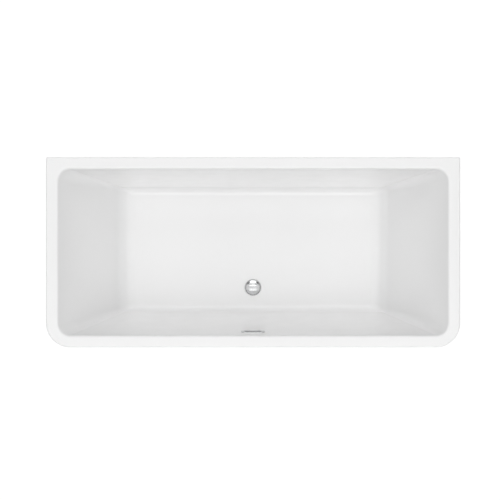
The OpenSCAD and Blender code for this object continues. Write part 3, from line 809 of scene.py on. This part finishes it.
class BATHTUB_OT_waste(bpy.types.Operator):
    """Builds the chrome flange and cap that show in the floor, and the parts below them"""

    bl_idname = "bathtub.waste"
    bl_label = "Waste"

    def execute(self, context):
        self.flange()
        self.cap()
        self.tailpiece()
        refine("waste_body", 0.8)
        refine("tail_nut", 1.0)
        return {"FINISHED"}

    def flange(self):
        top, bottom = flange_high.z, flange_low.z
        face = top - 2.5 * MM
        seat = top - 4 * MM
        tube_in, tube_out = 20.5 * MM, 23.9 * MM
        rim_in = FLANGE_R - 2.7 * MM
        outline = rounded([
            (tube_in, bottom + 4 * MM), (tube_in, bottom), (tube_out, bottom), (tube_out, seat),
            (FLANGE_R, seat), (FLANGE_R, top), (rim_in, top), (rim_in, face),
            (tube_in + 2.5 * MM, face), (tube_in, face - 4 * MM), (tube_in, bottom + 6 * MM)],
            0.9 * MM, 4)
        flange = turned("waste_flange_ring", WASTE, outline, 72, closed=True)
        window, window_z = (5 * MM, 5 * MM, 20 * MM), bottom + 8 * MM
        for angle in (30, 150, 270):
            cut(flange, cutter("round", window, self.around(22 * MM, angle, window_z),
                               (0, math.pi / 2, math.radians(angle))))
        arm_size, arm_z = (15 * MM, 4 * MM, 5 * MM), bottom + 17.5 * MM
        arms = []
        for angle in (90, 210, 330):
            arms.append(cutter("box", arm_size, self.around(14.5 * MM, angle, arm_z),
                               (0, 0, math.radians(angle))))
            apply_modifier(arms[-1], "BEVEL", width=0.8 * MM, segments=2)
        boss_profile = mm((3.05, 117), (3.05, 115), (8, 115), (8, 120), (3.05, 120), (3.05, 118))
        boss = turned("boss", WASTE, rounded(boss_profile, 0.6 * MM), 32, closed=True)
        flange = join("waste_flange_ring", flange, boss, *arms)
        smooth(flange, 35)
        finish_piece(flange, "waste_flange")

    def around(self, radius, degrees, z):
        a = math.radians(degrees)
        return WASTE + Vector((radius * math.cos(a), radius * math.sin(a), z))

    def cap(self):
        cap_low, cap_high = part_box("waste_cap")
        low, high = cap_low.z, cap_high.z
        cap_r, edge_h = (cap_high.x - cap_low.x) / 2, 1.5 * MM
        dome_h = high - low - edge_h
        dome_r = (cap_r ** 2 + dome_h ** 2) / (2 * dome_h)
        widest = math.asin((cap_r - 0.5 * MM) / dome_r)
        steps = 18
        dome = [(dome_r * math.sin(a), high - dome_r * (1 - math.cos(a)))
                for a in (widest * i / steps for i in range(steps, 0, -1))]
        under = rounded([(4.05 * MM, low + 3 * MM), (4.05 * MM, low), (cap_r, low),
                         (cap_r, dome[0][1] - 0.1 * MM), dome[1]], 0.6 * MM, 4)
        cap = turned("waste_cap_dome", WASTE, under + dome[2:] + [(0.6 * MM, high)], 72)
        smooth(cap, 40)
        finish_piece(cap, "waste_cap")

    def tailpiece(self):
        low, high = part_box("tailpiece")
        r_out, r_in = 20 * MM, 18 * MM
        bead = low.z + 33.5 * MM
        profile = rounded([
            (r_in, low.z + 10 * MM), (r_in, low.z), (r_out, low.z), (r_out, bead - 1.5 * MM),
            (r_out + 2 * MM, bead - 1 * MM), (r_out + 2 * MM, bead + 1 * MM), (r_out, bead + 1.5 * MM),
            (r_out, high.z), (r_in, high.z), (r_in, low.z + 12 * MM)], 0.6 * MM)
        tube = turned("waste_tailpiece", WASTE, profile, 56, closed=True)
        smooth(tube, 35)
        finish_piece(tube, "tailpiece")


def cross_screw(name, head_r, head_h, shaft_r, shaft_l, countersunk=False):
    """A screw standing on its head's underside at the origin, head up, with a cross recess."""
    under = [] if countersunk else [(head_r, 0)]
    points = rounded([(shaft_r * 0.4, -shaft_l), (shaft_r, -shaft_l + shaft_r), (shaft_r, 0), *under,
                      (head_r, head_h * 0.45), (head_r * 0.8, head_h), (0.3 * MM, head_h)],
                     head_h * 0.2, 2)
    screw = turned(name, (0, 0), points, 24)
    deep = head_h * 1.1
    arms = [cutter("box", (head_r * 1.25, head_r * 0.24, deep), (0, 0, head_h), (0, 0, turn))
            for turn in (0, math.pi / 2)]
    cut(screw, *arms)
    smooth(screw, 35)
    return screw


def copies(model, name, matrices):
    """Copies of a modelled piece at several places, each with its own mesh, joined into one."""
    made = [put(twin(model, name), matrix) for matrix in matrices]
    bpy.data.objects.remove(model)
    return join(name, *made)


class BATHTUB_OT_overflow(bpy.types.Operator):
    """Builds the overflow's trim, screws, housing and gasket, its hose and the hose clips"""

    bl_idname = "bathtub.overflow"
    bl_label = "Overflow"

    def execute(self, context):
        place, turn = overflow_place()
        self.frame_at = Matrix.Translation(place) @ turn.to_matrix().to_4x4()
        self.trim()
        self.screws()
        self.hose()
        refine("overflow_housing", 1.2)
        refine("overflow_gasket", 0.4)
        refine("hose_clips", 0.3)
        return {"FINISHED"}

    def trim(self):
        def slot(half_x, half_y, z):
            half_x, half_y, z, end_r = (value * MM for value in (half_x, half_y, z, half_y * 0.994))
            return Level(half_x, half_y, half_y, end_r, end_r, z)

        trim = stack("overflow_cover", [
            slot(50, 16, 0.05), slot(50, 16, 1.5), slot(49.7, 15.7, 2.1), slot(49.2, 15.2, 2.42),
            slot(48.6, 14.6, 2.5), slot(37.9, 5.9, 2.5), slot(37.2, 5.2, 2.35), slot(36.7, 4.7, 2.0),
            slot(36.5, 4.5, 1.4), slot(36.5, 4.5, -7.5), slot(38, 9.5, -7.5), slot(38, 9.5, 0.05)],
            12, closed=True)
        hole, sink = (2.3 * MM, 2.3 * MM, 6 * MM), (2.3 * MM, 3.9 * MM, 1.4 * MM)
        for size, z in ((hole, 0), (sink, 1.9 * MM)):
            for x in (-SCREW_X, SCREW_X):
                cut(trim, cutter("round", size, (x, 0, z)))
        put(trim, self.frame_at)
        smooth(trim, 35)
        finish_piece(trim, "overflow_trim")

    def screws(self):
        screw = cross_screw("screw", 3.7 * MM, 1.3 * MM, 1.9 * MM, 22 * MM, countersunk=True)
        spots = [self.frame_at @ Matrix.Translation((x, 0, 1.1 * MM)) for x in (-SCREW_X, SCREW_X)]
        finish_piece(copies(screw, "overflow_screw_pair", spots), "overflow_screws")

    def hose(self):
        """A corrugated hose with plain cuffs: down beside the wall, round a bend and level."""
        outer, inner = 12.5 * MM, 9.6 * MM
        bend_r = 75 * MM
        down = (self.frame_at.to_3x3() @ Vector((0, 1, 0))).normalized()
        top = self.frame_at @ Vector((0, 32 * MM, -24 * MM))
        hose_low, hose_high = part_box("overflow_hose")
        level_z = hose_low.z + outer
        angle = math.pi / 2 - math.asin(down.y)
        corner = (top.z - level_z) / -down.z
        straight = corner - bend_r * math.tan(angle / 2)
        centre = Vector((0, top.y + corner * down.y + bend_r * math.tan(angle / 2), level_z + bend_r))
        bend_end = straight + bend_r * angle
        total = bend_end + hose_high.y - centre.y

        def at(d):
            if d < straight:
                return top + down * d, down
            if d < bend_end:
                a = math.pi + math.asin(down.y) + (d - straight) / bend_r
                return (centre + bend_r * Vector((0, math.cos(a), math.sin(a))),
                        Vector((0, -math.sin(a), math.cos(a))))
            return Vector((0, centre.y + d - bend_end, level_z)), Vector((0, 1, 0))

        cuff, pitch = 17 * MM, 5.2 * MM
        waves = int((total - 2 * cuff) / pitch)
        pitch = (total - 2 * cuff) / waves
        stations = [(0.3 * MM, outer - 0.4 * MM), (0.8 * MM, outer), (cuff, outer)]
        for i in range(waves):
            start = cuff + i * pitch
            stations += [(start + 0.30 * pitch, outer - 1.5 * MM), (start + 0.55 * pitch, outer - 1.5 * MM),
                         (start + 0.85 * pitch, outer - 0.1 * MM)]
        stations += [(total - cuff + 0.5 * MM, outer), (total - 0.8 * MM, outer),
                     (total - 0.3 * MM, outer - 0.4 * MM)]
        bore = [(total - 0.1 * MM, inner), (total - cuff, inner), (bend_end, inner)]
        bore += [(straight + bend_r * angle * i / 8, inner) for i in range(7, 0, -1)]
        bore += [(straight, inner), (cuff, inner), (0.1 * MM, inner)]
        rings = [Circle(at(d)[0], r, at(d)[1]) for d, r in stations + bore]
        hose = stack("corrugated_hose", rings, 20, closed=True)
        smooth(hose, 50)
        finish_piece(hose, "overflow_hose")


# ---- Screw feet ----


class BATHTUB_OT_feet(bpy.types.Operator):
    """Builds the six feet: ribbed pads, stems with rolled threads, locknuts and inserts"""

    bl_idname = "bathtub.feet"
    bl_label = "Screw feet"

    def execute(self, context):
        pad = self.pad()
        stem = self.stem()
        for place in FOOT_PLACES:
            middle = middle_of(f"foot_pad_{place}")
            for model, node in ((pad, f"foot_pad_{place}"), (stem, f"foot_stem_{place}")):
                copy = twin(model, node + "_piece")
                put(copy, Matrix.Translation((middle.x, middle.y, 0)))
                finish_piece(copy, node)
            refine(f"foot_locknut_{place}", 0.7)
        for model in (pad, stem):
            bpy.data.objects.remove(model)
        refine("foot_inserts", 0.6)
        return {"FINISHED"}

    def pad(self):
        """A pad with two raised rings on its shoulder and a socket for the stem's ball."""
        ball_z, socket_r, top = 9.5 * MM, 7.6 * MM, 14 * MM
        outside = rounded(mm((22.6, 0), (24, 0.9), (24, 5), (20.5, 6.6), (20.0, 6.2), (17.8, 7.4),
                             (17.3, 7.0), (11, 10.8), (11, 14), (6.4, 14)), 0.7 * MM)
        start = math.asin((top - ball_z) / socket_r)
        socket = [(socket_r * math.cos(a), ball_z + socket_r * math.sin(a))
                  for a in (start + (-math.pi * 0.46 - start) * i / 10 for i in range(11))]
        pad = turned("pad", (0, 0), outside + socket, 48)
        smooth(pad, 35)
        return pad

    def stem(self):
        ball_r, ball_z, pitch = 7.5 * MM, 9.5 * MM, 1.75 * MM
        core_r, crest_r, chamfer = 5.35 * MM, 6 * MM, 0.8 * MM
        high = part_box("foot_stem_front_left")[1].z
        ball = [(ball_r * math.cos(a), ball_z + ball_r * math.sin(a))
                for a in (math.radians(d) for d in range(-84, 46, 10))]
        core = turned("core", (0, 0), ball + mm((5, 15.2), (5, 17.5)), 32)
        hexagon = turned("hexagon", (0, 0), mm((7.3, 17), (8, 17.6), (8, 23.4), (7.3, 24)), 6)
        shaft = turned("shaft", (0, 0), [
            (crest_r, 23.8 * MM), (crest_r, 25.5 * MM), (core_r, 26.2 * MM),
            (core_r, high - chamfer), (core_r - chamfer, high)], 24)
        thread = begin("thread")
        bpy.ops.mesh.primitive_circle_add(vertices=4, radius=crest_r - core_r,
                                          location=(core_r, 0, 26.6 * MM), rotation=(math.pi / 2, 0, 0))
        object_mode()
        turns = int((high - 28.4 * MM) / pitch)
        apply_modifier(thread, "SCREW", axis="Z", angle=2 * math.pi, screw_offset=pitch,
                       iterations=turns, steps=18, render_steps=18, use_smooth_shade=True)
        edit(thread)
        bpy.ops.mesh.fill_holes(sides=0)
        face_outwards()
        stem = join("stem", core, hexagon, shaft, thread)
        smooth(stem, 35)
        return stem


# ---- Underframe ----


class BATHTUB_OT_underframe(bpy.types.Operator):
    """Builds the board, the welded steel tubes, the battens and their caps and screws"""

    bl_idname = "bathtub.underframe"
    bl_label = "Underframe"

    def execute(self, context):
        tubes = [*RAILS, *CROSSBARS, *UPRIGHTS]
        battens = [f"rim_batten_{side}" for side in ("back", "front", "left", "right")]
        edges = {**{node: 1.1 for node in tubes}, **{node: 1.5 for node in battens},
                 "base_board": 0.8, "tube_end_caps": 1.2}
        for node, edge in edges.items():
            refine(node, edge, 3 if node in tubes else 2)
        low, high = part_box("board_screws")
        rows = (low.y + BOARD_HEAD_R, 30 * MM, high.y - BOARD_HEAD_R)
        self.screws("board_screws", "board_screw_set", 3 * MM, 2.4 * MM,
                    [(middle_of(bar).x, y) for bar in CROSSBARS for y in rows])
        outer_x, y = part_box("upright_screws")[1].x - BOARD_HEAD_R, middle_of("upright_screws").y
        self.screws("upright_screws", "upright_screw_set", 2.5 * MM, 2.5 * MM,
                    [(side * (outer_x - inner), y) for side in (-1, 1) for inner in (0, 44 * MM)])
        self.welds()
        return {"FINISHED"}

    def screws(self, node, name, head_h, shaft_r, places):
        """Screws that point up, each as long as the CAD screws' box is high."""
        low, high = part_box(node)
        screw = cross_screw("screw", BOARD_HEAD_R, head_h, shaft_r, high.z - low.z - head_h - 0.5 * MM)
        spots = [Matrix.Translation((x, y, low.z + head_h)) @ UPSIDE_DOWN for x, y in places]
        finish_piece(copies(screw, name, spots), node)

    def welds(self):
        """Rippled fillet welds where the crossbars and the uprights' feet meet the rails."""
        bead_l, bead_r, steps = 27 * MM, 2.1 * MM, 11
        rings = []
        for i in range(steps + 1):
            swell = 0.6 if i in (0, steps) else (1.0 if i % 2 else 0.86)
            rings.append(Circle((0, (i / steps - 0.5) * bead_l, 0), bead_r * swell, (0, 1, 0)))
        bead = stack("bead", rings, 10)
        smooth(bead, 60)
        spots = []
        proud, post_r, plate_h = 0.3 * MM, 12.8 * MM, 3.3 * MM
        for rail in RAILS:
            for bar in CROSSBARS:
                low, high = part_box(bar)
                for x in (low.x - proud, high.x + proud):
                    spots.append((x, middle_of(rail).y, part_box(rail)[1].z + proud))
        for node in UPRIGHTS:
            for x in (-post_r, post_r):
                spots.append((middle_of(node).x + x, middle_of("rail_back").y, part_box(node)[0].z + plate_h))
        beads = copies(bead, "weld_beads", [Matrix.Translation(spot) for spot in spots])
        finish_piece(beads, slot="galvanised_steel", finish="zinc_hardware")


# ---- Inner parts ----


class BATHTUB_OT_inner_parts(bpy.types.Operator):
    """Gives their finishes to the seals and the plug's works, which keep their own shapes"""

    bl_idname = "bathtub.inner_parts"
    bl_label = "Inner parts"

    def execute(self, context):
        for node, obj in frame["nodes"].items():
            if obj.hide_render:
                continue
            finish = finish_of(SLOTS[node])
            for slot in obj.material_slots:
                slot.material = finish
            if not obj.material_slots:
                obj.data.materials.append(finish)
        return {"FINISHED"}


# ---- Studio ----


class BATHTUB_OT_studio(bpy.types.Operator):
    """Makes the floor, the soft light and the camera above the tub"""

    bl_idname = "bathtub.studio"
    bl_label = "Studio"

    def execute(self, context):
        s = context.scene.bathtub_studio
        self.floor(context, s)
        self.sky(context, s)
        middle, left, right = (-5.0, 5.0), (-12.0, -5.0), (5.0, 12.0)
        self.softbox("Far front softbox", s.far_front, middle, (-20.0, -3.6))
        self.softbox("Front softbox", s.front, middle, (-3.6, -0.4))
        self.softbox("Top softbox", s.top, middle, (-0.4, 0.4))
        self.softbox("Back softbox", s.back, middle, (1.2, 3.6))
        self.softbox("Far back softbox", s.far_back, middle, (5.5, 20.0))
        self.softbox("Left softbox", s.sides, left, middle)
        self.softbox("Right softbox", s.sides, right, middle)
        self.camera(context, s)
        context.scene.view_settings.view_transform = "Standard"
        return {"FINISHED"}

    def floor(self, context, s):
        deselect()
        bpy.ops.mesh.primitive_circle_add(vertices=96, radius=60.0, fill_type="NGON", location=(0, 0, 0))
        floor = context.object
        floor.name = "studio_floor"
        f = Finish("Studio floor", context.scene.bathtub_colours.floor, 0.9)
        f.set("Specular IOR Level", 0.0)
        f.set("Emission Color", (1.0, 1.0, 1.0, 1.0))
        f.set("Emission Strength", s.glow)
        floor.data.materials.append(f.material)

    def sky(self, context, s):
        world = bpy.data.worlds.new("Studio")
        context.scene.world = world
        world.use_nodes = True
        nodes, links = world.node_tree.nodes, world.node_tree.links
        lighting = nodes["Background"]
        backdrop = nodes.new("ShaderNodeBackground")
        choose = nodes.new("ShaderNodeMixShader")
        links.new(nodes.new("ShaderNodeLightPath").outputs["Is Camera Ray"], choose.inputs["Fac"])
        for socket, background, strength in ((1, lighting, s.sky), (2, backdrop, 1.0)):
            background.inputs["Color"].default_value = (1.0, 1.0, 1.0, 1.0)
            background.inputs["Strength"].default_value = strength
            links.new(background.outputs["Background"], choose.inputs[socket])
        links.new(choose.outputs["Shader"], nodes["World Output"].inputs["Surface"])

    def softbox(self, name, brightness, across, reach):
        """A level softbox far above, over a stretch along the tub and one towards the wall."""
        width, depth = across[1] - across[0], reach[1] - reach[0]
        bpy.ops.object.light_add(type="AREA", location=(sum(across) / 2, sum(reach) / 2, RIM_Z + 10.0))
        light = bpy.context.object
        light.name = name
        light.data.shape = "RECTANGLE"
        light.data.size = width
        light.data.size_y = depth
        light.data.energy = brightness * math.pi * width * depth

    def camera(self, context, s):
        data = bpy.data.cameras.new("Camera")
        camera = bpy.data.objects.new("Camera", data)
        context.scene.collection.objects.link(camera)
        camera.location = (-s.camera_x, s.camera_y, RIM_Z + s.camera_height)
        data.sensor_width = 36.0
        data.lens = data.sensor_width * s.camera_height / s.view_width
        data.clip_start, data.clip_end = 0.1, 100.0
        context.scene.camera = camera


# ---- Add-on ----


class BATHTUB_PT_panel(bpy.types.Panel):
    bl_idname = "BATHTUB_PT_panel"
    bl_label = "Bathtub"
    bl_space_type = "VIEW_3D"
    bl_region_type = "UI"
    bl_category = "Bathtub"

    def draw(self, context):
        for name in GROUPS:
            box = self.layout.box()
            for prop in getattr(context.scene, name).bl_rna.properties:
                if prop.identifier not in ("rna_type", "name"):
                    box.prop(getattr(context.scene, name), prop.identifier)
        for operator in OPERATORS:
            self.layout.operator(operator.bl_idname)


GROUPS = {"bathtub_basin": BasinSizes, "bathtub_skirt": SkirtSizes, "bathtub_colours": Colours,
          "bathtub_studio": StudioSettings}
OPERATORS = (BATHTUB_OT_basin, BATHTUB_OT_skirt, BATHTUB_OT_waste, BATHTUB_OT_overflow,
             BATHTUB_OT_feet, BATHTUB_OT_underframe, BATHTUB_OT_inner_parts, BATHTUB_OT_studio)


def register():
    for cls in (*GROUPS.values(), *OPERATORS, BATHTUB_PT_panel):
        bpy.utils.register_class(cls)
    for name, cls in GROUPS.items():
        setattr(bpy.types.Scene, name, bpy.props.PointerProperty(type=cls))


def unregister():
    for name in GROUPS:
        delattr(bpy.types.Scene, name)
    for cls in reversed((*GROUPS.values(), *OPERATORS, BATHTUB_PT_panel)):
        bpy.utils.unregister_class(cls)


def main():
    register()
    for operator in OPERATORS:
        group, name = operator.bl_idname.split(".")
        getattr(getattr(bpy.ops, group), name)()


if __name__ == "__main__":
    main()
